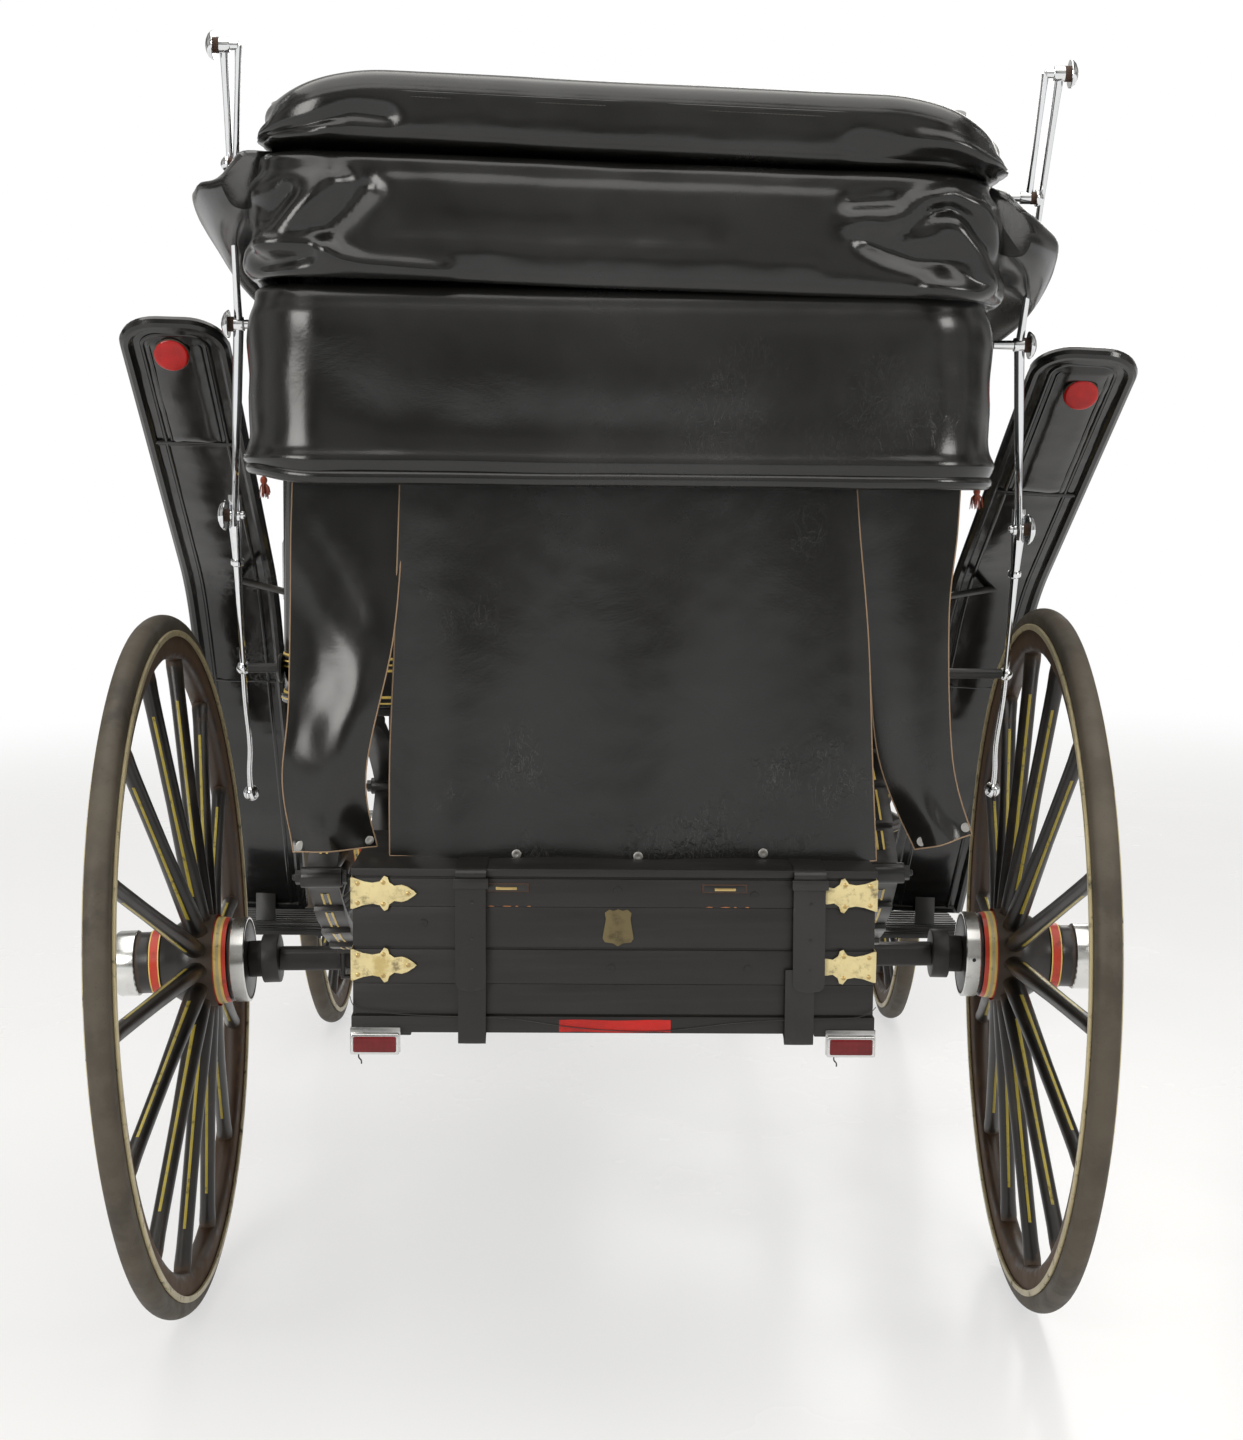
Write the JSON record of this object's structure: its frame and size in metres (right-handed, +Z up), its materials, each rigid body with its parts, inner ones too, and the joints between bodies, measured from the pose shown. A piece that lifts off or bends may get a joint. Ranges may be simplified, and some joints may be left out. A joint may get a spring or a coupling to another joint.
{
  "type": "horse-drawn open carriage with folding hood, rear trunk and shafts",
  "caption": "Black open horse-drawn carriage, hood folded in tiers, loose back curtains, rear trunk, elliptic springs, lined wheels and shafts resting on the ground",
  "frame": {"origin": "on the ground, midway along the length from the tail lamps to the shaft tips, on the centre line", "axes": "+X to the carriage's right, +Y forward in the direction of travel, +Z up"},
  "size_m": [1.6426, 4.8034, 1.9837],
  "materials": {
    "black_lacquer": "gloss black coach enamel",
    "black_paint_wood": "black painted wood",
    "patent_leather": "glossy black patent leather",
    "hood_leather": "glossy black coated hood leather",
    "curtain_leather": "glossy black hood leather with raw tan edges",
    "seat_leather": "black buttoned leather",
    "wheel_paint": "black and dark brown paint with yellow lines",
    "tyre_rubber": "dark grey solid rubber",
    "nickel": "polished nickel",
    "iron_black": "black painted iron",
    "trunk_wood": "black painted planks",
    "strap_leather": "worn black leather",
    "gilt_cream": "cream gilt metal, worn",
    "lamp_red": "red lamp lens with bright bezel",
    "lamp_case": "bright metal lamp case",
    "shaft_wood": "black lacquered wood"
  },
  "bodies": {
    "carriage": {"quarter_panel": "black_lacquer", "seat_frame": "black_paint_wood", "foot_well": "black_lacquer", "boot": "black_lacquer", "body_irons": "iron_black", "seat_cushion": "seat_leather", "back_cushion": "seat_leather", "driver_seat": "black_lacquer", "driver_cushion": "seat_leather", "footboard": "black_lacquer", "wing_right": "patent_leather", "wing_left": "patent_leather", "steps": "iron_black", "trunk": "trunk_wood", "trunk_straps": "strap_leather", "trunk_fittings": "gilt_cream", "tail_lamps": "lamp_red", "hood_leather": "hood_leather", "hood_irons_right": "nickel", "hood_irons_left": "nickel", "side_lamps": "lamp_case", "curtain_centre": "curtain_leather", "curtain_left": "curtain_leather", "curtain_right": "curtain_leather", "rear_axle": "iron_black", "rear_spring_right": "iron_black", "rear_spring_left": "iron_black", "turntable_upper": "iron_black"},
    "front_gear": {"turntable_lower": "iron_black", "turning_bed": "black_paint_wood", "front_springs": "iron_black", "front_axle": "iron_black"},
    "shafts": {"shafts": "shaft_wood", "whippletree": "shaft_wood"},
    "rear_wheel_right": {"wheel_rear_right": "wheel_paint", "tyre_rear_right": "tyre_rubber", "hub_bands_rear_right": "nickel"},
    "rear_wheel_left": {"wheel_rear_left": "wheel_paint", "tyre_rear_left": "tyre_rubber", "hub_bands_rear_left": "nickel"},
    "front_wheel_right": {"wheel_front_right": "wheel_paint", "tyre_front_right": "tyre_rubber", "hub_bands_front_right": "nickel"},
    "front_wheel_left": {"wheel_front_left": "wheel_paint", "tyre_front_left": "tyre_rubber", "hub_bands_front_left": "nickel"}
  },
  "joints": [
    {"name": "steering", "type": "hinge", "parent": "carriage", "child": "front_gear", "pos_m": [0, 0.14293, 0.846], "axis": [0, 0, 1], "range_deg": [-25, 25]},
    {"name": "shaft_lift", "type": "hinge", "parent": "front_gear", "child": "shafts", "pos_m": [0, 0.20493, 0.46097], "axis": [1, 0, 0], "range_deg": [0, 42]},
    {"name": "rear_wheel_right_spin", "type": "hinge", "parent": "carriage", "child": "rear_wheel_right", "pos_m": [0.71, -1.76407, 0.57527], "axis": [0.9996, 0, -0.029], "continuous": true},
    {"name": "rear_wheel_left_spin", "type": "hinge", "parent": "carriage", "child": "rear_wheel_left", "pos_m": [-0.71, -1.76407, 0.57527], "axis": [0.9996, 0, 0.029], "continuous": true},
    {"name": "front_wheel_right_spin", "type": "hinge", "parent": "front_gear", "child": "front_wheel_right", "pos_m": [0.71, 0.14293, 0.45682], "axis": [0.9996, 0, -0.029], "continuous": true},
    {"name": "front_wheel_left_spin", "type": "hinge", "parent": "front_gear", "child": "front_wheel_left", "pos_m": [-0.71, 0.14293, 0.45682], "axis": [0.9996, 0, 0.029], "continuous": true}
  ]
}
